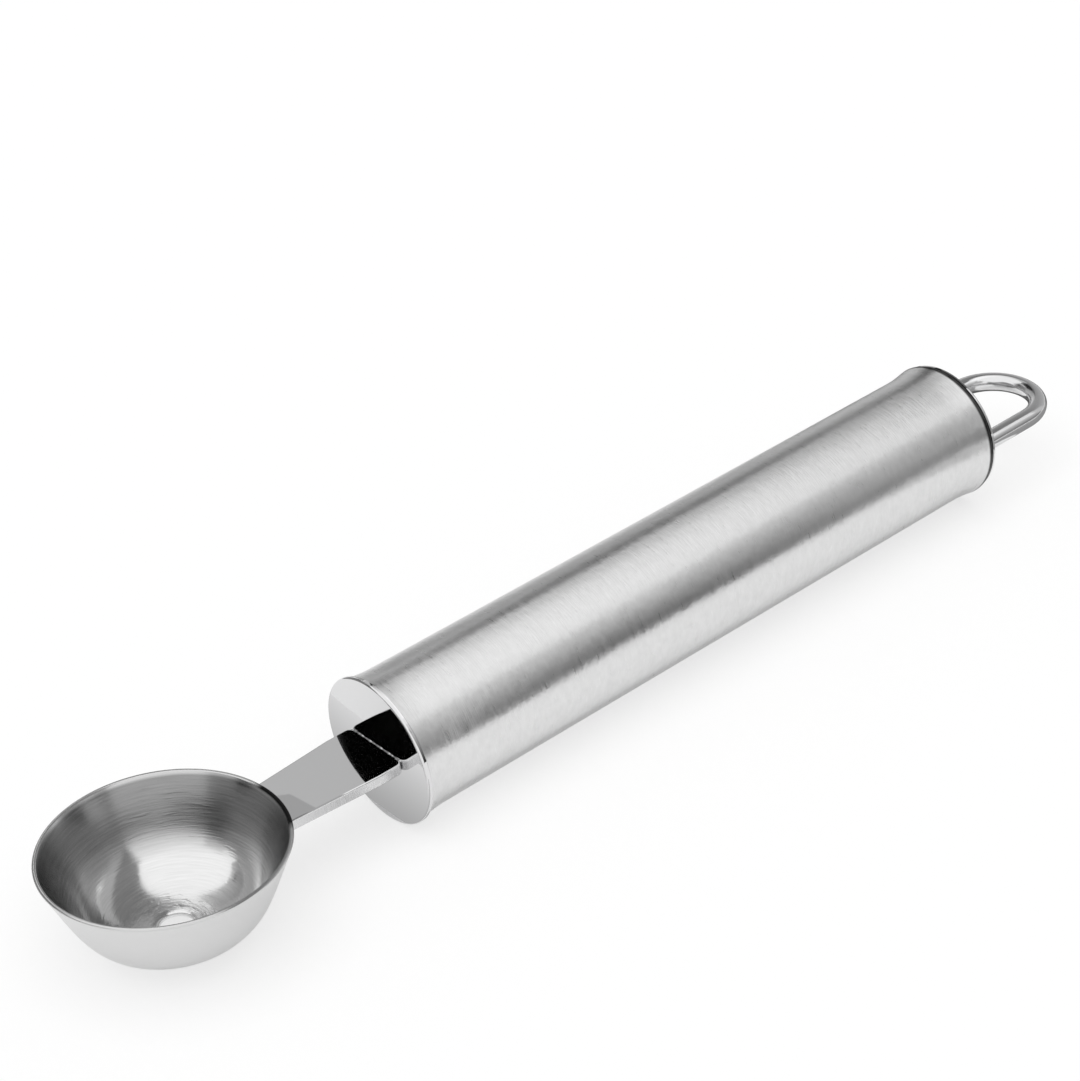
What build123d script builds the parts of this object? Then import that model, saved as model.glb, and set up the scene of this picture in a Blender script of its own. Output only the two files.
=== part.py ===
# A melon baller in stainless steel: a round scoop on a flat shank, a tubular handle
# closed by a cap at each end, and a wire loop to hang it by.
# It lies as it would on a table, on the rims of its handle, with the scoop's mouth up.
# +X runs from the scoop to the hanging loop and +Z is up. The origin is the middle of
# the tool's footprint, on the table. Lengths are in millimetres, angles in degrees.
import os
from math import cos, radians, sin

from build123d import *

os.makedirs("parts", exist_ok=True)

# Scoop
scoop_rim_radius = 15.5
scoop_depth = 12.4
scoop_wall = 0.6
scoop_tilt = 2
scoop_rise = 3.9
drain_radius = 2.2
scoop_rim_round = 0.15
drain_lip_round = 0.15
# The wall's curve from rim to bottom, as shares of its radius and its depth
scoop_curve_shares = [(1, 0), (0.723, 0.757), (0.783, 1), (0, 1)]

# Shank
shank_length = 15.8
shank_straight_length = 3.8
shank_width = 10.8
shank_neck_width = 9
shank_thickness = 1.5
shank_rise = 0.35
shank_shoulder = 1.2
shank_tang_length = 16
shank_shoulder_round = 0.9
shank_edge_round = 0.2

# Handle tube
handle_radius = 9.5
handle_wall = 0.6
handle_length = 102
front_flare = 0.4
front_flare_length = 4
front_lip_round = 0.2
rear_flare = 0.5
rear_flare_length = 5
rear_lip_round = 0.4

# Caps
front_cap_overhang = 0.25
front_cap_proud = 0.6
rear_cap_inset = 0.25
rear_cap_proud = 0.5
cap_floor = 0.4
cap_skirt_length = 3
cap_skirt_wall = 0.4
cap_fit = 0.05
cap_edge_round = 0.25
slot_clearance = 0.1

# Hanging loop
loop_wire_radius = 1.35
loop_side_gap = 0.2
loop_straight = 10.7
loop_drop = 0.5
loop_tail = 6
loop_hole_clearance = 0.05

# Welds
scoop_weld_size = 1.2
cap_weld_size = 1
cap_weld_land = 0.3
loop_weld_size = 0.4

overrun = 1

# The loop's legs stand as far apart as their welds leave room inside the rear cap's skirt
handle_bore_radius = handle_radius - handle_wall
skirt_bore_radius = handle_bore_radius - cap_fit - cap_skirt_wall
loop_bend_radius = skirt_bore_radius - loop_side_gap - loop_weld_size - loop_wire_radius

# Places along the handle, counted from the scoop's centre
scoop_reach = scoop_rim_radius + shank_length
tube_front = scoop_reach + front_cap_proud
tube_rear = tube_front + handle_length
bend_start = tube_rear + loop_straight
loop_end = bend_start + loop_bend_radius + loop_wire_radius
scoop_front = scoop_rim_radius * cos(radians(scoop_tilt))
scoop_x = (scoop_front - loop_end) / 2

# The front cap is the widest ring of the handle, and stands on the table
front_cap_radius = handle_radius + front_flare + front_cap_overhang
rear_cap_radius = handle_radius + rear_flare - rear_cap_inset
axis_height = front_cap_radius
rim_height = axis_height + scoop_rise
shank_middle = axis_height + shank_rise
shank_bottom = shank_middle - shank_thickness / 2
loop_height = axis_height - loop_drop

# Seen from the side, x runs along the handle and y is the distance from its axis
handle_axis = Axis((0, 0, axis_height), (1, 0, 0))
handle_section = Plane(origin=(scoop_x, 0, axis_height), x_dir=(1, 0, 0), z_dir=(0, -1, 0))

# The rim's plane leans towards the handle, and the scoop's axis stands square to it
lean = radians(scoop_tilt)
rim_plane = Plane(
    origin=(scoop_x, 0, rim_height),
    x_dir=(cos(lean), 0, -sin(lean)),
    z_dir=(sin(lean), 0, cos(lean)),
)
scoop_axis = Axis(rim_plane.origin, rim_plane.z_dir)
scoop_section = Plane(origin=rim_plane.origin, x_dir=rim_plane.x_dir, z_dir=(0, -1, 0))


def scoop_curve(radius, depth):
    """The four control points of the scoop's wall, from its rim to its bottom."""
    return [(radius * across, -depth * down) for across, down in scoop_curve_shares]


def scoop_radius_at(drop):
    """Outer radius of the scoop at a drop below its rim, by halving the curve."""
    points = scoop_curve(scoop_rim_radius, scoop_depth)
    near, far = 0, 1
    while far - near > 1e-9:
        along = (near + far) / 2
        back = 1 - along
        weights = (back**3, 3 * back**2 * along, 3 * back * along**2, along**3)
        radius, height = (sum(w * p[i] for w, p in zip(weights, points)) for i in (0, 1))
        near, far = (along, far) if -height < drop else (near, along)
    return radius


# Filled form of the scoop, to which the shank and its weld are cut
with BuildPart() as scoop_form:
    with BuildSketch(scoop_section):
        with BuildLine():
            Bezier(*scoop_curve(scoop_rim_radius, scoop_depth))
            Polyline((0, -scoop_depth), (0, 0), (scoop_rim_radius, 0))
        make_face()
    revolve(axis=scoop_axis)


# Scoop: one drawn sheet with a drain hole in its bottom
inner_radius = scoop_rim_radius - scoop_wall
inner_depth = scoop_depth - scoop_wall
with BuildPart() as scoop_bowl:
    with BuildSketch(scoop_section) as wall:
        with BuildLine():
            Bezier(*scoop_curve(scoop_rim_radius, scoop_depth))
            Line((0, -scoop_depth), (0, -inner_depth))
            Bezier(*scoop_curve(inner_radius, inner_depth))
            Line((inner_radius, 0), (scoop_rim_radius, 0))
        make_face()
        with Locations((0, -scoop_depth)):
            Rectangle(2 * drain_radius, 2 * scoop_depth - 2 * overrun, mode=Mode.SUBTRACT)
        fillet(wall.vertices().sort_by(Axis.Y)[-2:], scoop_rim_round)
        drain_corners = wall.vertices().sort_by(Axis.X)[:2]
        fillet(drain_corners.sort_by(Axis.Y)[-1], drain_lip_round)
    revolve(axis=scoop_axis)
scoop_bowl.part.label = "scoop_bowl"


# Shank: a flat strip, narrower towards the scoop, its end cut to the scoop's wall.
# Its shoulders stop against the front cap, and a narrower tang goes on through the slot
shank_foot = scoop_radius_at(scoop_depth / 2)
neck_end = scoop_reach - shank_straight_length
tang_end = scoop_reach + shank_tang_length
shank_tang_width = shank_width - 2 * shank_shoulder
with BuildPart() as shank:
    with BuildSketch(Plane(origin=(scoop_x, 0, shank_bottom))) as outline:
        with BuildLine():
            Polyline(
                (shank_foot, 0),
                (shank_foot, shank_neck_width / 2),
                (scoop_rim_radius, shank_neck_width / 2),
                (neck_end, shank_width / 2),
                (scoop_reach, shank_width / 2),
                (scoop_reach, shank_tang_width / 2),
                (tang_end, shank_tang_width / 2),
                (tang_end, 0),
            )
            mirror(about=Plane.XZ)
        make_face()
        for side in (-1, 1):
            shoulder = (scoop_reach, side * shank_width / 2)
            fillet(outline.vertices().sort_by_distance(shoulder)[0], shank_shoulder_round)
    extrude(amount=shank_thickness)
    flat_sides = shank.edges().group_by(Axis.Z)
    fillet(flat_sides[0] + flat_sides[-1], shank_edge_round)
    add(scoop_form.part, mode=Mode.SUBTRACT)
shank.part.label = "shank"


# Weld under the shank: a round bead laid along the scoop's wall
weld_reach = scoop_radius_at(rim_height - shank_bottom)
weld_drop = rim_height - shank_bottom - weld_reach * sin(lean)
weld_width = shank_neck_width - 2 * scoop_weld_size
with BuildPart() as scoop_weld:
    with BuildSketch(scoop_section):
        with Locations((weld_reach, -weld_drop)):
            Circle(scoop_weld_size)
    revolve(axis=scoop_axis)
    add(scoop_form.part, mode=Mode.SUBTRACT)
    with BuildSketch(Plane(origin=(scoop_x + weld_reach, 0, shank_bottom))):
        Rectangle(2 * weld_reach, weld_width)
    extrude(amount=-2 * scoop_weld_size, mode=Mode.INTERSECT)
scoop_weld.part.label = "scoop_weld"


# Handle tube: straight, with both ends belled out by a gentle arc
def tube_curve(radius):
    """One wall of the tube from its front end to its rear end."""
    front_bell = (tube_front, radius + front_flare)
    front_straight = (tube_front + front_flare_length, radius)
    rear_straight = (tube_rear - rear_flare_length, radius)
    rear_bell = (tube_rear, radius + rear_flare)
    TangentArc(front_straight, front_bell, tangent=(-1, 0))
    Line(front_straight, rear_straight)
    TangentArc(rear_straight, rear_bell, tangent=(1, 0))


front_lip = (tube_front, handle_radius + front_flare)
rear_lip = (tube_rear, handle_radius + rear_flare)
with BuildPart() as handle_tube:
    with BuildSketch(handle_section) as wall:
        with BuildLine():
            tube_curve(handle_radius)
            tube_curve(handle_bore_radius)
            Line((tube_front, handle_bore_radius + front_flare), front_lip)
            Line((tube_rear, handle_bore_radius + rear_flare), rear_lip)
        make_face()
        fillet(wall.vertices().sort_by_distance(front_lip)[0], front_lip_round)
        fillet(wall.vertices().sort_by_distance(rear_lip)[0], rear_lip_round)
    revolve(axis=handle_axis)
handle_tube.part.label = "handle_tube"


# Caps: a disc against the tube's end, with a skirt that follows the belled bore
def make_cap(seat, inward, rim_radius, proud, flare, flare_length):
    """A cap seated at a place on the tube; inward is 1 or -1 along X."""
    skirt_radius = skirt_bore_radius + cap_skirt_wall
    skirt_end = seat + inward * (flare_length + cap_skirt_length)
    floor = seat + inward * cap_floor
    rim_corner = (seat - inward * proud, rim_radius)
    with BuildPart() as cap:
        with BuildSketch(handle_section) as profile:
            with BuildLine():
                bell = TangentArc(
                    (seat + inward * flare_length, skirt_radius),
                    (seat, skirt_radius + flare),
                    tangent=(-inward, 0),
                )
                Polyline(
                    bell @ 1,
                    (seat, rim_radius),
                    rim_corner,
                    (seat - inward * proud, 0),
                    (floor, 0),
                    (floor, skirt_bore_radius),
                    (skirt_end, skirt_bore_radius),
                    (skirt_end, skirt_radius),
                    bell @ 0,
                )
            make_face()
            fillet(profile.vertices().sort_by_distance(rim_corner)[0], cap_edge_round)
        revolve(axis=handle_axis)
    return cap


front_cap_blank = make_cap(
    tube_front, 1, front_cap_radius, front_cap_proud, front_flare, front_flare_length
)
with BuildPart() as front_cap:
    add(front_cap_blank.part)
    with BuildSketch(Plane.YZ.offset(scoop_x + scoop_reach - overrun)):
        with Locations((0, shank_middle)):
            Rectangle(shank_tang_width + 2 * slot_clearance, shank_thickness + 2 * slot_clearance)
    extrude(amount=front_cap_proud + cap_floor + 2 * overrun, mode=Mode.SUBTRACT)
front_cap.part.label = "front_cap"

rear_cap_blank = make_cap(
    tube_rear, -1, rear_cap_radius, rear_cap_proud, rear_flare, rear_flare_length
)
with BuildPart() as rear_cap:
    add(rear_cap_blank.part)
    with BuildSketch(Plane.YZ.offset(scoop_x + tube_rear - cap_floor - overrun)):
        with Locations((-loop_bend_radius, loop_height), (loop_bend_radius, loop_height)):
            Circle(loop_wire_radius + loop_hole_clearance)
    extrude(amount=cap_floor + rear_cap_proud + 2 * overrun, mode=Mode.SUBTRACT)
rear_cap.part.label = "rear_cap"


# Weld round the shank, on the front cap's inner face
with BuildPart() as shank_weld:
    with BuildSketch(Plane.YZ.offset(scoop_x + tube_front + cap_floor)):
        with Locations((0, shank_middle)):
            Rectangle(shank_tang_width + 2 * cap_weld_size, shank_thickness + 2 * cap_weld_size)
    extrude(amount=cap_weld_size)
    chamfer(shank_weld.faces().sort_by(Axis.X)[-1].edges(), cap_weld_size - cap_weld_land)
    add(shank.part, mode=Mode.SUBTRACT)
shank_weld.part.label = "shank_weld"


# Hanging loop: one round wire, two straight legs joined by a half circle
loop_tail_end = tube_rear - cap_floor - loop_tail
with BuildPart() as hanging_loop:
    with BuildLine(Plane(origin=(scoop_x, 0, loop_height))) as loop_path:
        Line((loop_tail_end, -loop_bend_radius), (bend_start, -loop_bend_radius))
        ThreePointArc(
            (bend_start, -loop_bend_radius),
            (bend_start + loop_bend_radius, 0),
            (bend_start, loop_bend_radius),
        )
        Line((bend_start, loop_bend_radius), (loop_tail_end, loop_bend_radius))
    with BuildSketch(Plane.YZ.offset(scoop_x + loop_tail_end)):
        with Locations((-loop_bend_radius, loop_height)):
            Circle(loop_wire_radius)
    sweep(path=loop_path.wires()[0])
hanging_loop.part.label = "hanging_loop"


# Weld tacks round the wire's two legs, on the rear cap's inner face
with BuildPart() as loop_welds:
    with BuildSketch(Plane.YZ.offset(scoop_x + tube_rear - cap_floor)):
        with Locations((-loop_bend_radius, loop_height), (loop_bend_radius, loop_height)):
            Circle(loop_wire_radius + loop_weld_size)
            Circle(loop_wire_radius, mode=Mode.SUBTRACT)
    extrude(amount=-cap_weld_size)
loop_welds.part.label = "loop_welds"


for piece in (
    scoop_bowl,
    shank,
    scoop_weld,
    front_cap,
    shank_weld,
    handle_tube,
    rear_cap,
    hanging_loop,
    loop_welds,
):
    export_step(piece.part, f"parts/{piece.part.label}.step")
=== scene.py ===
# %% [markdown]
# # A melon baller in stainless steel
# The tool is a drawn sheet bowl, a flat strip that carries it, and a tubular handle with a cap
# in each end and a wire loop to hang it by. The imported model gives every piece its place, so
# this lesson only dresses it: it turns, extrudes and polishes each piece at the size it has.

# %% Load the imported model
from math import asin, cos, pi, radians, sin, tau

import bpy
from mathutils import Matrix, Vector


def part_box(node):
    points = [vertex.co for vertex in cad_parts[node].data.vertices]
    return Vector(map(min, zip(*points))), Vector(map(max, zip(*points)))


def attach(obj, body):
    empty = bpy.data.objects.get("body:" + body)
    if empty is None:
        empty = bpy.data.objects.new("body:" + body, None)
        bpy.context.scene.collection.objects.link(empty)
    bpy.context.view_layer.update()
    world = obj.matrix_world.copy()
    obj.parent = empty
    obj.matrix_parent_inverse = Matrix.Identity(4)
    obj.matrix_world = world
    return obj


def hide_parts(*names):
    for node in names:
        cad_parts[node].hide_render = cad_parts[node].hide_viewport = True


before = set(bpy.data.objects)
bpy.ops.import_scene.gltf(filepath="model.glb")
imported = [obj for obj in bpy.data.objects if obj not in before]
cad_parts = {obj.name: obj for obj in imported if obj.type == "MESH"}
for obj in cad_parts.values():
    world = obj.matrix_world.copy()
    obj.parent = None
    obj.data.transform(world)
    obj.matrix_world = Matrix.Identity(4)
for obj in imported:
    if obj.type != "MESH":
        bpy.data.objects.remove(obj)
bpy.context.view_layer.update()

print("nodes:", sorted(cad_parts))

# %% [markdown]
# ## Sizes
# A maker of this tool works from a drawing with a handful of sizes. The bowl's place and the
# main sizes are written here once, each smaller size stands with its piece, and all other
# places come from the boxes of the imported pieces.

# %% Name the sizes
mm = 0.001
tube_low, tube_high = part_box("handle_tube")
front_cap_low, front_cap_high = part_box("front_cap")
rear_cap_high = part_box("rear_cap")[1]
shank_low, shank_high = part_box("shank")
loop_low, loop_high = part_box("hanging_loop")

handle_height = (tube_low.z + tube_high.z) / 2
handle_radius = 9.5 * mm
handle_wall = 0.6 * mm
scoop_tilt = radians(2)
scoop_centre = Vector((-68.48, 0, 14.05)) * mm
scoop_radius = 15.5 * mm
scoop_depth = 12.4 * mm
scoop_wall = 0.6 * mm
drain_radius = 2.2 * mm
wire_radius = 1.35 * mm

X, Z = Vector((1, 0, 0)), Vector((0, 0, 1))
print(f"handle axis at {handle_height / mm:.2f} mm, wire {2 * wire_radius / mm:.2f} mm thick")

# %% [markdown]
# ## Drawing a profile and turning it
# Drawn cups, caps and tube ends are round pieces: a press or a lathe gives them one profile all
# the way round. The same works here. A single vertex is extruded along the profile, and spin
# carries that line round the axis. Short arcs stand in the profile wherever the metal is bent.

# %% Helpers for round pieces
def arc_from(start, direction, side, radius, angle, steps):
    """Points of an arc that leaves start along direction and bends towards side."""
    start, direction, side = (Vector(v) for v in (start, direction, side))
    turns = [angle * step / steps for step in range(1, steps + 1)]
    return [start + radius * (sin(t) * direction + (1 - cos(t)) * side) for t in turns]


def rounded(before, corner, after, radius, steps=6):
    """Points of the arc that rounds one corner of a profile."""
    before, corner, after = Vector(before), Vector(corner), Vector(after)
    back, on = (before - corner).normalized(), (after - corner).normalized()
    half = back.angle(on) / 2
    reach = radius * cos(half) / sin(half)
    middle = corner + (back + on).normalized() * radius / sin(half)
    first, last = corner + back * reach, corner + on * reach
    points = []
    for step in range(steps + 1):
        share = step / steps
        chord = (first.lerp(last, share) - middle).normalized()
        points.append(middle + chord * radius)
    return points


def start_clean():
    """Nothing is selected, so that the next operator acts on the new piece alone."""
    bpy.ops.object.select_all(action="DESELECT")


def draw_line(name, points):
    """A chain of edges through points in space, left selected in edit mode."""
    start_clean()
    bpy.ops.mesh.primitive_plane_add(size=mm, location=points[0])
    piece = bpy.context.object
    piece.name = piece.data.name = name
    bpy.ops.object.transform_apply(location=True)
    bpy.ops.object.mode_set(mode="EDIT")
    bpy.ops.mesh.select_mode(type="VERT")
    bpy.ops.mesh.merge(type="CENTER")
    for here, there in zip(points, points[1:]):
        bpy.ops.mesh.extrude_vertices_move(TRANSFORM_OT_translate={"value": there - here})
    bpy.ops.mesh.select_all(action="SELECT")
    return piece


def close_up(piece, sharp_angle=30):
    """Merges the seam, turns the faces outwards and shades the piece smooth."""
    bpy.ops.mesh.select_all(action="SELECT")
    bpy.ops.mesh.remove_doubles(threshold=0.001 * mm)
    bpy.ops.mesh.normals_make_consistent(inside=False)
    bpy.ops.object.mode_set(mode="OBJECT")
    bpy.ops.object.shade_smooth_by_angle(angle=radians(sharp_angle))
    size = piece.dimensions / mm
    faces = len(piece.data.polygons)
    print(f"{piece.name}: {size.x:.2f} x {size.y:.2f} x {size.z:.2f} mm, {faces} faces")
    return piece


def turn(name, profile, centre, outward, axis, steps=192):
    """A piece turned from a profile of (radius, place along the axis)."""
    line = [centre + outward * radius + axis * along for radius, along in profile]
    piece = draw_line(name, line)
    bpy.ops.mesh.spin(steps=steps, angle=tau, center=centre, axis=axis)
    return close_up(piece)

# %% [markdown]
# ## The bowl
# A round blank of 0.6 mm sheet is drawn into a cup with steep sides and a flatter bottom. Its
# rim is ground and polished round, and the drain hole is punched and rubbed smooth inside. One
# closed line holds the outer wall, the rim, the inner wall and the lip of the hole.

# %% Turn the bowl
scoop_axis = Vector((sin(scoop_tilt), 0, cos(scoop_tilt)))
scoop_outward = Vector((cos(scoop_tilt), 0, -sin(scoop_tilt)))
scoop_curve_shares = [(1, 0), (0.723, 0.757), (0.783, 1), (0, 1)]


def scoop_wall_line(inset, steps=56):
    """Points (radius, height) of the scoop's wall from rim to bottom, by Bezier's formula."""
    points = []
    for step in range(steps + 1):
        there = step / steps
        back = 1 - there
        weights = (back**3, 3 * back**2 * there, 3 * back * there**2, there**3)
        radius = sum(w * across for w, (across, _) in zip(weights, scoop_curve_shares))
        height = sum(w * down for w, (_, down) in zip(weights, scoop_curve_shares))
        points.append(Vector((radius * (scoop_radius - inset), -height * (scoop_depth - inset))))
    return points


def outside_radius(points, radius):
    return [p for p in points if p[0] > radius]


rim_round = 0.22 * mm
lip_round, outer_lip_round = 0.3 * mm, 0.08 * mm
outer = scoop_wall_line(0)
inner = scoop_wall_line(scoop_wall)
outer_floor, inner_floor = outer[-9], inner[-12]
outer_hole_edge = drain_radius + 0.1 * mm
inner_hole_edge = drain_radius + 1.3 * lip_round
outer_bottom = Vector((drain_radius, -scoop_depth))
inner_bottom = Vector((drain_radius, -scoop_depth + scoop_wall))
rim_outer, rim_inner = outer[0], inner[0]
scoop_profile = (
    rounded(rim_inner, rim_outer, outer[1], rim_round)
    + outside_radius(outer[2:], outer_hole_edge)
    + rounded(outer_floor, outer_bottom, inner_bottom, outer_lip_round, 3)
    + rounded(outer_bottom, inner_bottom, inner_floor, lip_round, 8)
    + outside_radius(inner[2:], inner_hole_edge)[::-1]
    + rounded(inner[1], rim_inner, rim_outer, rim_round)
)
scoop_profile.append(scoop_profile[0])
bowl = turn("bowl", scoop_profile, scoop_centre, scoop_outward, scoop_axis, steps=240)
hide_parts("scoop_bowl")
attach(bowl, "root")

# %% [markdown]
# ## The handle tube
# The grip is 19 mm tube. Pressing the caps in bells both of its ends a little, over the last few
# millimetres, and grinding breaks the sharp outer edge of each end.

# %% Turn the handle tube
front_flare, front_flare_length, front_lip = 0.4 * mm, 4 * mm, 0.2 * mm
rear_flare, rear_flare_length, rear_lip = 0.5 * mm, 5 * mm, 0.5 * mm
handle_axis_point = Vector((0, 0, handle_height))


def bell(start, direction, length, rise, steps=10):
    """Points of the gentle arc in which a wall (radius, place) swings outwards by rise."""
    radius = (length**2 + rise**2) / (2 * rise)
    return arc_from(start, (0, direction), (1, 0), radius, asin(length / radius), steps)


def tube_wall(radius):
    """One wall of the tube from its front end to its rear end."""
    front_start = Vector((radius, tube_low.x + front_flare_length))
    rear_start = Vector((radius, tube_high.x - rear_flare_length))
    front_bell = bell(front_start, -1, front_flare_length, front_flare)[::-1]
    rear_bell = bell(rear_start, 1, rear_flare_length, rear_flare)
    return front_bell + [front_start, rear_start] + rear_bell


outer_wall = tube_wall(handle_radius)
inner_wall = tube_wall(handle_radius - handle_wall)
tube_profile = (
    rounded(inner_wall[0], outer_wall[0], outer_wall[1], front_lip)
    + outer_wall[2:-2]
    + rounded(outer_wall[-3], outer_wall[-1], inner_wall[-1], rear_lip)
    + inner_wall[::-1]
)
tube_profile.append(tube_profile[0])
tube = turn("tube", tube_profile, handle_axis_point, Z, X)
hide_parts("handle_tube")
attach(tube, "root")

# %% [markdown]
# ## The caps
# Each end of the tube is closed by a pressed cup. Its skirt grips the bore and its polished disc
# sits on the tube's end. The front disc is slotted for the strip, the rear one drilled for the
# wire, and the cuts are made with a boolean, as a punch makes them.

# %% Turn and punch the caps
cap_floor, cap_skirt_length, cap_skirt_wall, cap_fit = 0.4 * mm, 3 * mm, 0.4 * mm, 0.05 * mm
cap_edge_round = 0.3 * mm


def cap_profile(seat, inward, face, rim_radius, flare, flare_length):
    """The cap's section (radius, place), from the middle of its face to its floor."""
    skirt = handle_radius - handle_wall - cap_fit
    skirt_start = Vector((skirt, seat + inward * flare_length))
    skirt_end = seat + inward * (flare_length + cap_skirt_length)
    arc = bell(skirt_start, -inward, flare_length, flare)[::-1]
    corner = Vector((rim_radius, face))
    rim = rounded((0, face), corner, (rim_radius, seat), cap_edge_round, 8)
    rest = [(rim_radius, seat)] + arc + [skirt_start, (skirt, skirt_end)]
    bore, floor = skirt - cap_skirt_wall, seat + inward * cap_floor
    return [(0, face)] + rim + rest + [(bore, skirt_end), (bore, floor), (0, floor)]


def punch(piece, cutter):
    """Cuts cutter's shape out of piece and throws the cutter away."""
    cut = piece.modifiers.new("cut", "BOOLEAN")
    cut.object, cut.operation, cut.solver = cutter, "DIFFERENCE", "EXACT"
    start_clean()
    bpy.context.view_layer.objects.active = piece
    piece.select_set(True)
    bpy.ops.object.modifier_apply(modifier=cut.name)
    bpy.ops.object.shade_smooth_by_angle(angle=radians(30))
    bpy.data.objects.remove(cutter)
    print(f"{piece.name}: {len(piece.data.polygons)} faces after the cut")


front_rim = front_cap_high.y
front_cap = turn(
    "cap_front",
    cap_profile(tube_low.x, 1, front_cap_low.x, front_rim, front_flare, front_flare_length),
    handle_axis_point, Z, X,
)
slot_clearance = 0.1 * mm
hole_clearance = 0.05 * mm
cutter_depth = 4 * mm
tang_width = 8.4 * mm
strip_thickness = shank_high.z - shank_low.z
start_clean()
bpy.ops.mesh.primitive_cube_add(
    size=1, location=(tube_low.x, 0, (shank_low.z + shank_high.z) / 2),
)
slot_cutter = bpy.context.object
slot_cutter.scale = (
    cutter_depth, tang_width + 2 * slot_clearance, strip_thickness + 2 * slot_clearance,
)
bpy.ops.object.transform_apply(scale=True)
punch(front_cap, slot_cutter)

rear_rim = rear_cap_high.y
rear_cap = turn(
    "cap_rear",
    cap_profile(tube_high.x, -1, rear_cap_high.x, rear_rim, rear_flare, rear_flare_length),
    handle_axis_point, Z, X,
)
leg_side = loop_high.y - wire_radius
loop_height = (loop_low.z + loop_high.z) / 2
for side in (-1, 1):
    start_clean()
    bpy.ops.mesh.primitive_cylinder_add(
        vertices=48, radius=wire_radius + hole_clearance, depth=cutter_depth,
        location=(tube_high.x, side * leg_side, loop_height), rotation=(0, pi / 2, 0),
    )
    punch(rear_cap, bpy.context.object)
for cap, node in ((front_cap, "front_cap"), (rear_cap, "rear_cap")):
    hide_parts(node)
    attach(cap, "root")

# %% [markdown]
# ## The strip
# The strip is stamped from 1.5 mm sheet: narrow at the bowl, wider at the cap, with shoulders
# that stop against the cap and a tang that goes on into the handle. Tumbling rounds its edges.
# Half its outline is drawn, filled, extruded to thickness and bevelled.

# %% Draw and extrude the strip
neck_half, strip_half = 4.5 * mm, 5.4 * mm
straight_length = 3.8 * mm
shoulder_round, strip_edge = 0.9 * mm, 0.2 * mm
cap_face = front_cap_low.x
overlap = 3 * mm
foot = scoop_centre.x + scoop_radius - overlap
neck_start = scoop_centre.x + scoop_radius
neck_end = cap_face - straight_length
shoulder = Vector((cap_face, strip_half))
half_outline = (
    [Vector((foot, neck_half)), Vector((neck_start, neck_half)), Vector((neck_end, strip_half))]
    + rounded((neck_end, strip_half), shoulder, (cap_face, tang_width / 2), shoulder_round)
    + [Vector((cap_face, tang_width / 2)), Vector((shank_high.x, tang_width / 2))]
)
other_half = [Vector((p.x, -p.y)) for p in reversed(half_outline)]
outline = [Vector((p.x, p.y, shank_low.z)) for p in half_outline + other_half]
strip = draw_line("strip", outline)
bpy.ops.mesh.edge_face_add()
bpy.ops.mesh.extrude_region_move(TRANSFORM_OT_translate={"value": (0, 0, strip_thickness)})
close_up(strip)
edge_bevel = strip.modifiers.new("edges", "BEVEL")
edge_bevel.width, edge_bevel.segments, edge_bevel.limit_method = strip_edge, 4, "ANGLE"
bpy.ops.object.modifier_apply(modifier=edge_bevel.name)


def scoop_form(name):
    """A solid plug of the bowl's shape, up to the middle of its wall."""
    line = scoop_wall_line(scoop_wall / 2)
    above = 1 * mm
    lid = [(0, above), (line[0].x, above)]
    return turn(name, lid + line, scoop_centre, scoop_outward, scoop_axis, 96)


punch(strip, scoop_form("strip_cutter"))
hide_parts("shank")
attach(strip, "root")

# %% [markdown]
# ## The seam between strip and cap
# Where the strip enters the cap, the joint is closed by a thin seam that catches the light as a
# broken line. A line of short edges becomes a curve, its round section swells and thins along
# the way, and the curve becomes a mesh again.

# %% Lay the seam
seam_radius = 0.13 * mm
seam_half = strip_half - shoulder_round / 2
seam_steps = 36
seam_places = [2 * step / seam_steps - 1 for step in range(seam_steps + 1)]
seam_line = [Vector((cap_face, seam_half * place, shank_high.z)) for place in seam_places]
seam = draw_line("seam", seam_line)
bpy.ops.object.mode_set(mode="OBJECT")
bpy.ops.object.convert(target="CURVE")
seam.data.bevel_depth, seam.data.bevel_resolution, seam.data.use_fill_caps = seam_radius, 3, True
for step, point in enumerate(seam.data.splines[0].points):
    point.radius = 0.8 + 0.25 * sin(2.3 * step) + 0.2 * sin(0.9 * step)
bpy.ops.object.convert(target="MESH")
bpy.ops.object.mode_set(mode="EDIT")
close_up(seam, 60)
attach(seam, "root")

# %% [markdown]
# ## The hanging loop
# A straight wire is bent round a mandrel. So its round section is extruded along the first leg,
# spun half a turn about the bend's centre, and extruded back along the second leg.

# %% Bend the wire
bend_centre = Vector((loop_high.x - wire_radius - leg_side, 0, loop_height))
leg_length = bend_centre.x - loop_low.x
start_clean()
bpy.ops.mesh.primitive_circle_add(
    vertices=48, radius=wire_radius, fill_type="NGON",
    location=(loop_low.x, -leg_side, loop_height), rotation=(0, pi / 2, 0),
)
wire = bpy.context.object
wire.name = wire.data.name = "wire_loop"
bpy.ops.object.transform_apply(location=True, rotation=True)
bpy.ops.object.mode_set(mode="EDIT")
bpy.ops.mesh.select_all(action="SELECT")
bpy.ops.mesh.extrude_region_move(TRANSFORM_OT_translate={"value": (leg_length, 0, 0)})
bpy.ops.mesh.spin(steps=64, angle=-pi, center=bend_centre, axis=Z)
bpy.ops.mesh.extrude_region_move(TRANSFORM_OT_translate={"value": (-leg_length, 0, 0)})
close_up(wire, 40)
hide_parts("hanging_loop")
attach(wire, "root")

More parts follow.
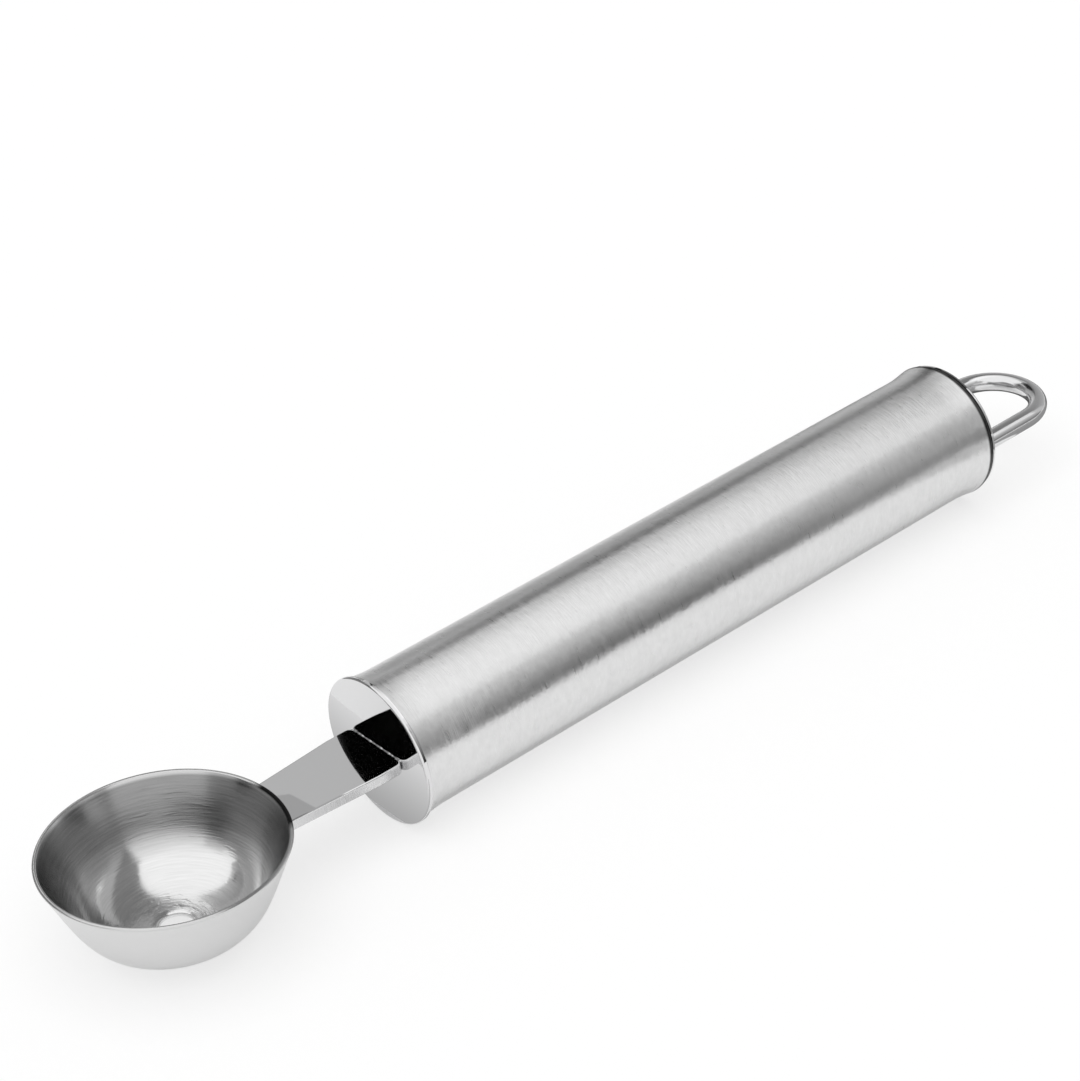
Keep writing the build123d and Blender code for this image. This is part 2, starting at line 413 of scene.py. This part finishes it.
# %% [markdown]
# ## Steel and its finishes
# Every piece is the same stainless steel, a slightly warm grey metal. What differs is how each
# piece was finished: the tube is brushed round and round, the bowl is polished to a soft haze,
# the strip, the caps and the wire are buffed bright, and the welds are left as they froze. So
# each finish is its own material: a metal shader whose roughness and bump come from stretched
# noise. The stretch gives the noise the direction in which the belt or the mop ran.

# %% Helpers for the finishes
def new_steel(name, tone, roughness, anisotropy=0.0):
    """A metal material: its tree and its shader are ready for a pattern."""
    material = bpy.data.materials.new(name)
    material.use_nodes = True
    shader = material.node_tree.nodes["Principled BSDF"]
    shader.inputs["Metallic"].default_value = 1
    shader.inputs["Base Color"].default_value = (*tone, 1)
    shader.inputs["Roughness"].default_value = roughness
    shader.inputs["Anisotropic"].default_value = anisotropy
    return material, material.node_tree, shader


def add(tree, kind, links=(), **settings):
    """A node with its settings; links are pairs of an input's name and a socket."""
    node = tree.nodes.new(kind)
    for key, value in settings.items():
        if key in node.inputs:
            node.inputs[key].default_value = value
        else:
            setattr(node, key, value)
    for name, socket in links:
        tree.links.new(socket, node.inputs[name])
    return node


def place_on_piece(tree):
    """The place of a point on the piece, in millimetres."""
    coordinates = add(tree, "ShaderNodeTexCoord")
    links = [(0, coordinates.outputs["Object"])]
    return add(tree, "ShaderNodeVectorMath", links, operation="SCALE", Scale=1 / mm).outputs[0]


def streaks(tree, place, lengths, detail=2.0, seed=0.0):
    """Noise whose grains have these lengths, in millimetres, along x, y and z."""
    scale, shift = tuple(1 / length for length in lengths), (seed, 0, 0)
    stretched = add(tree, "ShaderNodeMapping", [("Vector", place)], Scale=scale, Location=shift)
    links = [("Vector", stretched.outputs[0])]
    return add(tree, "ShaderNodeTexNoise", links, Scale=1.0, Detail=detail).outputs["Fac"]


def spread(tree, value, low, high, to_low, to_high):
    """The value between low and high, spread over to_low to to_high."""
    ends = {"From Min": low, "From Max": high, "To Min": to_low, "To Max": to_high}
    return add(tree, "ShaderNodeMapRange", [("Value", value)], **ends).outputs[0]


def joined(tree, operation, first, second):
    """One value from two, by an operation of the Math node."""
    links = [(0, first), (1, second)]
    return add(tree, "ShaderNodeMath", links, operation=operation).outputs[0]


def without_sign(tree, value):
    return add(tree, "ShaderNodeMath", [(0, value)], operation="ABSOLUTE").outputs[0]


def blend(tree, share, first, second):
    """From the first value to the second, which may be a plain number, as share goes to one."""
    mix = add(tree, "ShaderNodeMix", [("Factor", share), ("A", first)])
    if isinstance(second, float):
        mix.inputs["B"].default_value = second
    else:
        tree.links.new(second, mix.inputs["B"])
    return mix.outputs[0]


def parts_of(tree, vector):
    """The x, y and z of a vector, by name."""
    return add(tree, "ShaderNodeSeparateXYZ", [("Vector", vector)]).outputs


def from_vector(tree, operation, *vectors):
    """A result of a Vector Math operation: its sockets, by name."""
    return add(tree, "ShaderNodeVectorMath", list(enumerate(vectors)), operation=operation).outputs


def weighed(tree, first, second, share):
    """The first value plus a share of the second."""
    links = [(0, second), (2, first)]
    node = add(tree, "ShaderNodeMath", links, operation="MULTIPLY_ADD")
    node.inputs[1].default_value = share
    return node.outputs[0]


def raise_up(tree, shader, height, depth, strength):
    """A bump of this depth, in metres, on the shader's normal."""
    bump = add(tree, "ShaderNodeBump", [("Height", height)], Strength=strength, Distance=depth)
    tree.links.new(bump.outputs[0], shader.inputs["Normal"])


def finish_with(material, *pieces):
    for piece in pieces:
        piece.data.materials.clear()
        piece.data.materials.append(material)
    print(f"{material.name}: {', '.join(piece.name for piece in pieces)}")

# %% [markdown]
# ### Satin on the tube
# The tube turns against an abrasive belt, which leaves short fine scratches round it. Light
# spreads along the tube but stays crisp round it, and that is anisotropy, with a tangent that
# runs round the x axis. The noise has grains a few millimetres long round the tube and a
# fraction of a millimetre along it, a second, sparse one draws the deeper scratches, and a
# third one the soft mottle of handling. The lips of both ends are painted dark, as painted shade
# in the seam between tube and cap: it begins and is full at two distances from each end.

# %% Satin for the tube
rear_seam_shade_insets, front_seam_shade_insets = (0.95, 0.70), (0.14, 0.22)
satin, tree, shader = new_steel("satin_tube", (0.80, 0.80, 0.80), 0.30, 0.85)
shader.inputs["Anisotropic Rotation"].default_value = 0.25
tangent = add(tree, "ShaderNodeTangent", direction_type="RADIAL", axis="X")
tree.links.new(tangent.outputs[0], shader.inputs["Tangent"])
place = place_on_piece(tree)
grain = streaks(tree, place, (0.16, 3.0, 3.0), 3.0)
scratch = spread(tree, streaks(tree, place, (0.18, 1.1, 1.1), 2.0, 7.0), 0.62, 0.74, 0, 1)
mottle = streaks(tree, place, (0.8, 1.4, 1.4), 2.0, 3.0)
rough = weighed(tree, spread(tree, grain, 0.3, 0.7, 0.22, 0.31), mottle, 0.12)
normal = add(tree, "ShaderNodeNewGeometry").outputs["Normal"]
lip = spread(tree, without_sign(tree, parts_of(tree, normal)["X"]), 0.22, 0.4, 0, 1)
tree.links.new(blend(tree, lip, rough, 0.12), shader.inputs["Roughness"])
length = parts_of(tree, place)["X"]
# Painted shade: the lips of both ends are darkened where the seam between tube and cap is.
rear_painted_seam_shade = spread(tree, length, *(tube_high.x / mm - inset for inset in rear_seam_shade_insets), 0, 1)
front_painted_seam_shade = spread(tree, length, *(tube_low.x / mm + inset for inset in front_seam_shade_insets), 1, 0)
dark = joined(tree, "MAXIMUM", rear_painted_seam_shade, front_painted_seam_shade)
bare = weighed(tree, spread(tree, dark, 0, 1, 0.79, 0.06), scratch, 0.05)
tone = weighed(tree, bare, spread(tree, mottle, 0.3, 0.7, -0.03, 0.03), 1.0)
tree.links.new(tone, shader.inputs["Base Color"])
raise_up(tree, shader, weighed(tree, grain, mottle, 1.2), 0.03 * mm, 1.0)
finish_with(satin, tube)

# %% [markdown]
# ### Polish in the bowl
# The bowl is polished with a mop while it turns, so its haze has faint rings. The pattern needs
# the bowl's own axis: a Mapping node moves the coordinates to the centre of the rim and tips
# them by the bowl's tilt. Radius plus height then grows steadily up the wall, inside and out,
# and noise that is short in that direction and long round the axis draws the rings. The mop
# presses on the bottom and hardly reaches the steep wall inside, which stays coarser; that wall
# is painted darker towards the rim as painted shade, so tone and roughness follow the height
# there. Beside the strip a dark mark is laid on the rim. It is a product of ramps of angle,
# radius and height. The ends of all these ramps are in millimetres, or in sines of the angle
# round the bowl's axis.

# %% Polish for the bowl
coarse_and_shade_heights, land_heights = (-9.3, -5.6), (-0.55, -0.25)
rim_mark_radii, rim_mark_heights, rim_mark_sides, rim_mark_offset = (14.7, 14.85), (-0.9, -0.7), (0.27, 0.36), 0.2
haze, tree, shader = new_steel("bowl_polish", (0.62, 0.62, 0.625), 0.16)
place = place_on_piece(tree)
centred = add(
    tree, "ShaderNodeMapping", [("Vector", place)], vector_type="TEXTURE",
    Location=tuple(scoop_centre / mm), Rotation=(0, scoop_tilt, 0),
).outputs[0]
parts = parts_of(tree, centred)
level_part = add(tree, "ShaderNodeCombineXYZ", [("X", parts["X"]), ("Y", parts["Y"])]).outputs[0]
radius = from_vector(tree, "LENGTH", level_part)["Value"]
climb = joined(tree, "ADD", radius, parts["Z"])
turned = parts_of(tree, from_vector(tree, "NORMALIZE", level_part)["Vector"])
links = [("X", climb), ("Y", turned["X"]), ("Z", turned["Y"])]
rings = add(tree, "ShaderNodeCombineXYZ", links).outputs[0]
ring = streaks(tree, rings, (0.35, 0.45, 0.45), 3.0)
swirl = spread(tree, streaks(tree, rings, (0.5, 0.22, 0.22), 1.0, 11.0), 0.6, 0.75, 0, 1)
dent = streaks(tree, centred, (6, 6, 6), 1.0, 5.0)
normal = add(tree, "ShaderNodeNewGeometry").outputs["Normal"]
outside = spread(tree, from_vector(tree, "DOT_PRODUCT", normal, centred)["Value"], -1, 1, 0, 1)
# Painted shade: the inner wall gets darker towards the rim; the same ramp makes it rougher.
coarse_and_shade = spread(tree, parts["Z"], *coarse_and_shade_heights, 0, 1)
wall_tone_and_painted_shade = weighed(tree, spread(tree, coarse_and_shade, 0, 1, 0.72, 0.25), ring, 0.18)
tone = blend(tree, outside, wall_tone_and_painted_shade, 0.74)
rim_land = spread(tree, parts["Z"], *land_heights, 0, 1)
tone = blend(tree, rim_land, tone, 0.66)
# A dark mark on the rim beside the strip, made from ramps of angle, radius and height.
beside_strip = spread(tree, turned["Y"], -1, 1, rim_mark_offset - 1, rim_mark_offset + 1)
rim_mark = spread(tree, without_sign(tree, beside_strip), *rim_mark_sides, 1, 0)
handle_side = (0, 0.3)
for value, ends in (
    (radius, rim_mark_radii), (parts["Z"], rim_mark_heights), (turned["X"], handle_side),
):
    rim_mark = joined(tree, "MULTIPLY", rim_mark, spread(tree, value, *ends, 0, 1))
tree.links.new(blend(tree, rim_mark, tone, 0.02), shader.inputs["Base Color"])
wall_rough = spread(tree, coarse_and_shade, 0, 1, 0.12, 0.22)
ring_rough = spread(tree, ring, 0.3, 0.7, -0.03, 0.04)
tree.links.new(joined(tree, "ADD", wall_rough, ring_rough), shader.inputs["Roughness"])
height = weighed(tree, weighed(tree, ring, swirl, 0.5), dent, 6.0)
raise_up(tree, shader, height, 0.02 * mm, 0.5)
finish_with(haze, bowl)

# %% [markdown]
# ### Buffed pieces
# The strip, the caps and the wire are buffed to a mirror. The strip's faces keep the slight
# waves of rolled sheet, and its cut sides show the upright marks of the shears. The caps keep
# rings from the lathe, and the drawn wire keeps lines along its length.

# %% Polish for the strip
strip_polish, tree, shader = new_steel("strip_polish", (0.76, 0.76, 0.765), 0.06)
place = place_on_piece(tree)
normal = add(tree, "ShaderNodeNewGeometry").outputs["Normal"]
cut_side = spread(tree, without_sign(tree, parts_of(tree, normal)["Z"]), 0.35, 0.75, 1, 0)
shear_marks = streaks(tree, place, (0.18, 1.0, 1.6), 3.0)
buffing = streaks(tree, place, (0.25, 4.0, 4.0), 2.0, 4.0)
face_rough = spread(tree, buffing, 0.3, 0.7, 0.02, 0.05)
side_rough = spread(tree, shear_marks, 0.3, 0.7, 0.18, 0.42)
tree.links.new(blend(tree, cut_side, face_rough, side_rough), shader.inputs["Roughness"])
wave = streaks(tree, place, (9, 7, 9), 1.0, 2.0)
side_height = joined(tree, "MULTIPLY", shear_marks, cut_side)
height = weighed(tree, weighed(tree, wave, side_height, 2.0), buffing, 0.03)
raise_up(tree, shader, height, 0.010 * mm, 0.6)
finish_with(strip_polish, strip)

# %% Polish for the caps
cap_polish, tree, shader = new_steel("cap_polish", (0.76, 0.76, 0.765), 0.07)
place = place_on_piece(tree)
centred = add(
    tree, "ShaderNodeMapping", [("Vector", place)], vector_type="TEXTURE",
    Location=(0, 0, handle_height / mm),
).outputs[0]
parts = parts_of(tree, centred)
upright_part = add(tree, "ShaderNodeCombineXYZ", [("Y", parts["Y"]), ("Z", parts["Z"])]).outputs[0]
radius = from_vector(tree, "LENGTH", upright_part)["Value"]
links = [("X", radius), ("Y", parts["X"])]
lathe = add(tree, "ShaderNodeCombineXYZ", links).outputs[0]
ring = streaks(tree, lathe, (0.3, 0.6, 1), 2.0)
cloud = streaks(tree, place, (4, 4, 4), 2.0, 6.0)
rough = weighed(tree, spread(tree, ring, 0.3, 0.7, 0.02, 0.05), cloud, 0.03)
tree.links.new(rough, shader.inputs["Roughness"])
raise_up(tree, shader, weighed(tree, cloud, ring, 0.03), 0.006 * mm, 0.3)
finish_with(cap_polish, front_cap, rear_cap, seam)

# %% Polish for the wire
wire_polish, tree, shader = new_steel("wire_polish", (0.78, 0.78, 0.785), 0.12)
place = place_on_piece(tree)
dapple = streaks(tree, place, (2.5, 2.5, 0.5), 2.0)
tree.links.new(spread(tree, dapple, 0.3, 0.7, 0.10, 0.19), shader.inputs["Roughness"])
raise_up(tree, shader, streaks(tree, place, (3, 3, 0.8), 1.0, 8.0), 0.02 * mm, 0.12)
finish_with(wire_polish, wire)

# %% [markdown]
# ### Weld metal
# A weld bead freezes in ripples and keeps a straw and grey tint from the heat. The beads inside
# the handle are never seen, but they get the same metal as the one under the strip.

# %% Finish the welds
weld_metal, tree, shader = new_steel("weld_metal", (0.6, 0.58, 0.55), 0.32)
place = place_on_piece(tree)
tint = spread(tree, streaks(tree, place, (0.9, 1.4, 0.9), 3.0), 0.35, 0.65, 0, 1)
ramp = add(tree, "ShaderNodeValToRGB", [("Fac", tint)])
ramp.color_ramp.elements[0].color = (0.62, 0.61, 0.59, 1)
ramp.color_ramp.elements[1].color = (0.50, 0.45, 0.38, 1)
tree.links.new(ramp.outputs["Color"], shader.inputs["Base Color"])
tree.links.new(spread(tree, tint, 0, 1, 0.25, 0.42), shader.inputs["Roughness"])
raise_up(tree, shader, streaks(tree, place, (0.25, 0.35, 0.25), 2.0), 0.03 * mm, 0.5)
weld_nodes = ("scoop_weld", "shank_weld", "loop_welds")
finish_with(weld_metal, *[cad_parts[name] for name in weld_nodes])

# %% [markdown]
# ## The studio
# A polished tool shows its surroundings more than itself. The studio is a white table under a
# soft white sky, which every piece of steel reflects as its light tones. Photographers then set
# cards round the tool: grey ones in front give the tube its long dark line, and a black one
# behind gives the strip and the cap their deep black. Softboxes overhead make the highlight
# of the tube. The cards are seen only in reflections, and only from the tool's side. The
# table can be looked through from below, so that the underside can be inspected.

# %% Helpers for the studio
def bare_material(name):
    """A material without its usual shader, its tree and its output."""
    material = bpy.data.materials.new(name)
    material.use_nodes = True
    tree = material.node_tree
    tree.nodes.remove(tree.nodes["Principled BSDF"])
    return material, tree, tree.nodes["Material Output"]


def seen_directly(tree, *kinds):
    """One for rays of these kinds and zero for the others."""
    rays = add(tree, "ShaderNodeLightPath")
    seen = rays.outputs[kinds[0]]
    for kind in kinds[1:]:
        seen = joined(tree, "MAXIMUM", seen, rays.outputs[kind])
    return seen


# %% Lay the table and light it
start_clean()
bpy.ops.mesh.primitive_plane_add(size=4, location=(0, 0, 0))
table = bpy.context.object
table.name = "table"
material, tree, output = bare_material("white_table")
to_camera = seen_directly(tree, "Is Camera Ray")
mirrored = seen_directly(tree, "Is Glossy Ray", "Is Transmission Ray")
lit_tone, camera_tone, camera_glow, mirror_glow = 0.75, 0.34, 0.66, 0.2
paper_tone = spread(tree, to_camera, 0, 1, lit_tone, camera_tone)
glow_tone = weighed(tree, spread(tree, to_camera, 0, 1, 0, camera_glow), mirrored, mirror_glow)
paper = add(tree, "ShaderNodeBsdfDiffuse", [("Color", paper_tone)])
glow = add(tree, "ShaderNodeEmission", [("Strength", glow_tone)])
both = add(tree, "ShaderNodeAddShader", [(0, paper.outputs[0]), (1, glow.outputs[0])])
below = add(tree, "ShaderNodeNewGeometry").outputs["Backfacing"]
from_below = joined(tree, "MULTIPLY", below, to_camera)
clear = add(tree, "ShaderNodeBsdfTransparent")
links = [(0, from_below), (1, both.outputs[0]), (2, clear.outputs[0])]
seen_table = add(tree, "ShaderNodeMixShader", links)
tree.links.new(seen_table.outputs[0], output.inputs["Surface"])
table.data.materials.append(material)

world = bpy.data.worlds.new("white_studio")
bpy.context.scene.world = world
world.use_nodes = True
tree = world.node_tree
seen = seen_directly(tree, "Is Camera Ray", "Is Glossy Ray", "Is Transmission Ray")
sky_light, sky_seen = 0.6, 1
sky = spread(tree, seen, 0, 1, sky_light, sky_seen)
tree.links.new(sky, tree.nodes["Background"].inputs["Strength"])
tree.nodes["Background"].inputs["Color"].default_value = (1, 1, 1, 1)

sun_data = bpy.data.lights.new("high_softbox", "SUN")
sun_data.energy, sun_data.angle = 1.35, radians(70)
sun = bpy.data.objects.new("high_softbox", sun_data)
sun.rotation_euler = (radians(12), radians(-14), 0)
sun.visible_glossy = False
bpy.context.scene.collection.objects.link(sun)

# %% Set the cards
def card(name, corners, tones, along):
    """A card that only polished steel sees, from one side; its tone changes along one axis."""
    corners = [Vector(corner) for corner in corners]
    plane = draw_line(name, corners)
    bpy.ops.mesh.edge_face_add()
    bpy.ops.object.mode_set(mode="OBJECT")
    if (scoop_centre - corners[0]).dot(plane.data.polygons[0].normal) < 0:
        bpy.ops.object.mode_set(mode="EDIT")
        bpy.ops.mesh.flip_normals()
        bpy.ops.object.mode_set(mode="OBJECT")
    material, tree, output = bare_material(name)
    place = parts_of(tree, add(tree, "ShaderNodeTexCoord").outputs["Object"])
    places = [corner["XYZ".index(along)] for corner in corners]
    tone = spread(tree, place[along], min(places), max(places), *tones)
    glow = add(tree, "ShaderNodeEmission", [("Strength", tone)])
    clear = add(tree, "ShaderNodeBsdfTransparent")
    behind = add(tree, "ShaderNodeNewGeometry").outputs["Backfacing"]
    links = [(0, behind), (1, glow.outputs[0]), (2, clear.outputs[0])]
    one_sided = add(tree, "ShaderNodeMixShader", links)
    tree.links.new(one_sided.outputs[0], output.inputs["Surface"])
    plane.data.materials.append(material)
    plane.visible_camera = plane.visible_diffuse = plane.visible_shadow = False
    plane.visible_transmission = plane.visible_volume_scatter = False


def upright(x_low, x_high, y, z_low, z_high):
    """Corners of a card that faces along Y."""
    return [(x_low, y, z_low), (x_high, y, z_low), (x_high, y, z_high), (x_low, y, z_high)]


def sideways(x, y_low, y_high, z_low, z_high):
    """Corners of a card that faces along X."""
    return [(x, y_low, z_low), (x, y_high, z_low), (x, y_high, z_high), (x, y_low, z_high)]


def level(x_low, x_high, y_low, y_high, z):
    """Corners of a card that lies flat."""
    return [(x_low, y_low, z), (x_high, y_low, z), (x_high, y_high, z), (x_low, y_high, z)]


softbox_height, flag_place = 0.327, -0.041
low_line = [
    (-0.12, 0.0225), (0.006, 0.0225), (0.0102, 0.0245), (0.0165, 0.0255),
    (0.0204, 0.0279), (0.0233, 0.0304), (0.045, 0.031), (0.045, 0.036), (-0.12, 0.035),
]
low_flag = [(flag_place, y, z) for y, z in low_line]
handle_flag = [
    (flag_place, -0.12, 0.033), (flag_place, 0.12, 0.035),
    (0.10, 0.285, 0.325), (0.008, -0.267, 0.325),
]
cards = [
    ("table_edge_front", upright(-0.028, 0.045, -0.046, 0.0100, 0.049), (0.0, 0.60), "Z"),
    ("table_edge", upright(0.045, 0.17, -0.046, 0.0075, 0.025), (0.18, 0.36), "Z"),
    # A grey card on the table under the tube: a painted contact shadow, seen only in the steel.
    ("painted_contact_shadow", level(-0.036, 0.065, -0.0082, -0.0058, 0.0004), (0.5, 0.5), "Y"),
    ("table_grey", level(0.080, 0.17, -0.06, 0.0, 0.0005), (0.45, 0.30), "Y"),
    ("table_dark", level(0.080, 0.17, 0.0, 0.10, 0.0005), (0.12, 0.08), "Y"),
    ("front_wall", upright(0.13, 0.6, -0.30, 0.07, 0.15), (0.34, 0.42), "Z"),
    ("front_left_flag", upright(-0.02, 0.14, -0.301, 0.13, 0.45), (0.55, 0.35), "Z"),
    ("front_flag", upright(0.14, 0.7, -0.30, 0.15, 0.43), (0.40, 0.85), "Z"),
    ("left_grey", sideways(-0.34, -0.06, 0.07, 0.0, 0.18), (0.3, 0.8), "Z"),
    ("left_black", sideways(-0.34, 0.07, 0.27, 0.0, 0.12), (0.03, 0.03), "Z"),
    ("far_wall", upright(-1.0, 0.15, 0.62, 0.25, 1.0), (0.12, 0.70), "Z"),
    ("far_black", upright(-0.55, -0.33, 0.60, 0.42, 0.64), (0.0, 0.0), "Z"),
    ("near_grey", upright(-0.084, -0.0715, 0.0288, 0.021, 0.032), (0.24, 0.34), "Z"),
    ("far_right", sideways(0.60, -0.10, 0.60, 0.0, 0.48), (0.35, 0.30), "Z"),
    ("rear_low", upright(-0.34, 0.032, 0.155, 0.0, 0.09), (0.3, 0.2), "Z"),
    ("strip_grey", upright(0.022, 0.055, 0.15, 0.10, 0.175), (0.57, 0.57), "Z"),
    ("rear_flag", upright(0.055, 0.14, 0.15, 0.095, 0.175), (0.03, 0.03), "Z"),
    ("rear_flag_end", upright(0.14, 0.26, 0.15, 0.095, 0.175), (0.12, 0.18), "Z"),
    ("rear_wall", upright(0.032, 0.14, 0.15, 0.0, 0.095), (0.55, 0.35), "Z"),
    ("rear_wall_end", upright(0.14, 0.30, 0.15, 0.0, 0.095), (0.85, 0.40), "Z"),
    ("right_wall", sideways(0.30, -0.12, 0.10, 0.0, 0.19), (0.6, 0.6), "Z"),
    ("cap_shade", level(-0.0475, -0.0375, -0.030, 0.035, 0.0005), (0.85, 0.48), "X"),
    ("loop_black", upright(0.076, 0.095, 0.025, 0.031, 0.041), (0.02, 0.02), "Z"),
    ("loop_grey", sideways(0.11, -0.012, 0.040, 0.012, 0.072), (0.50, 0.08), "Z"),
    ("low_flag", low_flag, (0.50, 0.42), "Y"),
    ("handle_flag", handle_flag, (0.34, 0.08), "Y"),
    ("bowl_softbox", level(-0.5, 0.10, -0.3, 0.26, softbox_height), (1.05, 1.05), "X"),
    ("handle_softbox", level(0.10, 0.21, -0.16, 0.06, softbox_height), (1.18, 1.18), "X"),
    ("softbox_fade", level(0.10, 0.21, 0.06, 0.33, softbox_height), (1.18, 0.3), "Y"),
    ("rear_softbox", level(0.21, 0.38, -0.16, -0.07, softbox_height), (1.0, 1.0), "X"),
    ("rear_fade", level(0.21, 0.38, -0.07, 0.26, softbox_height), (1.0, 0.3), "Y"),
    ("ceiling", level(0.38, 0.6, -0.16, 0.33, softbox_height), (0.6, 0.45), "Y"),
]
for name, corners, tones, along in cards:
    card(name, corners, tones, along)
print(f"{len(cards)} cards")

# %% [markdown]
# ## The camera
# The camera stands where the photographer stood, at the front left, looking down by 32 degrees
# through a long lens. It is built from the direction it looks in, its roll, and the point it
# looks at.

# %% Set the camera
view_azimuth, view_elevation, view_roll = radians(-37.18), radians(32.338), radians(-6.36)
view_distance = 341.81 * mm
view_target = Vector((-8.45, 0, 27.3)) * mm
reach = cos(view_elevation)
back = Vector((sin(view_azimuth) * reach, -cos(view_azimuth) * reach, sin(view_elevation)))
right = Vector((cos(view_azimuth), sin(view_azimuth), 0))
up = back.cross(right)
rolled_right = right * cos(view_roll) + up * sin(view_roll)
rolled_up = up * cos(view_roll) - right * sin(view_roll)
camera_data = bpy.data.cameras.new("photo_view")
camera_data.lens = 90.53
camera_data.clip_start, camera_data.clip_end = 0.01, 10
camera = bpy.data.objects.new("photo_view", camera_data)
facing = Matrix((rolled_right, rolled_up, back)).transposed().to_4x4()
camera.matrix_world = Matrix.Translation(view_target + back * view_distance) @ facing
bpy.context.scene.collection.objects.link(camera)
bpy.context.scene.camera = camera
bpy.context.scene.view_settings.view_transform = "Standard"

# %% [markdown]
